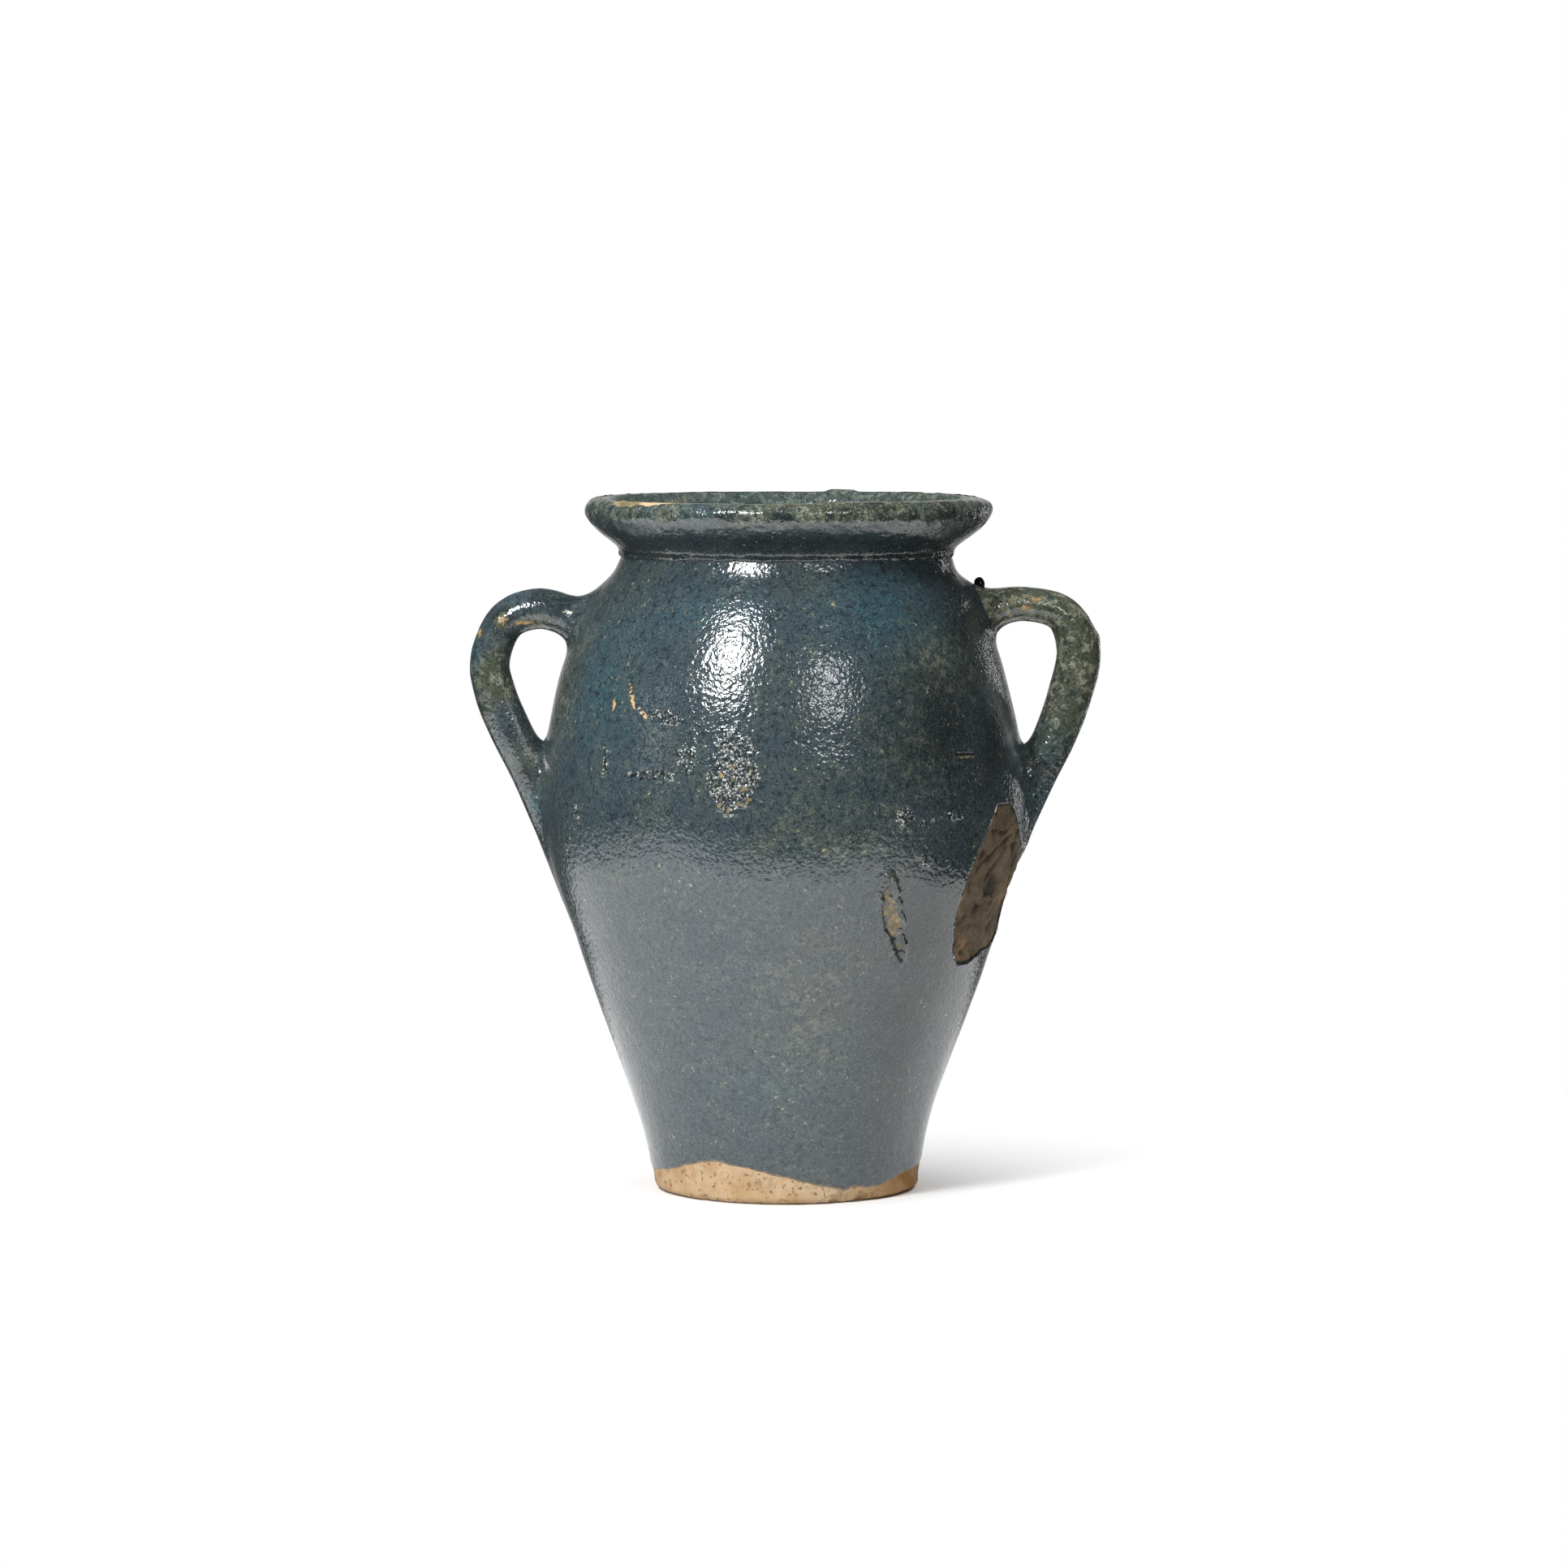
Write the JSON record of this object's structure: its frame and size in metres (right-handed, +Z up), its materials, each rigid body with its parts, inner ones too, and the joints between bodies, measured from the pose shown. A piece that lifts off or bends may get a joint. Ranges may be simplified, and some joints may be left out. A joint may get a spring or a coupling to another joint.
{
  "type": "two-handled glazed earthenware jar",
  "caption": "Wide-shouldered storage jar with a rolled lip, a flared neck collar, a tapering lower wall, looped side handles and a glaze that stops just above a bare clay foot.",
  "frame": {"origin": "centre of the foot's underside, on the surface that the jar stands on", "axes": "+Z up the jar's axis, X through both handles, -Y towards the side that is seen from the front"},
  "size_m": [0.3625, 0.28, 0.4],
  "materials": {
    "clay": "matte",
    "glaze": "gloss",
    "lining": "gloss",
    "bead": "gloss"
  },
  "bodies": {
    "root": {"foot": "clay", "lower_wall": "clay", "shoulder_wall": "clay", "neck_collar": "clay", "rolled_lip": "clay", "handle_left": "clay", "handle_right": "clay", "outside_glaze": "glaze", "lining_glaze": "lining", "glaze_bead": "bead"}
  },
  "joints": []
}
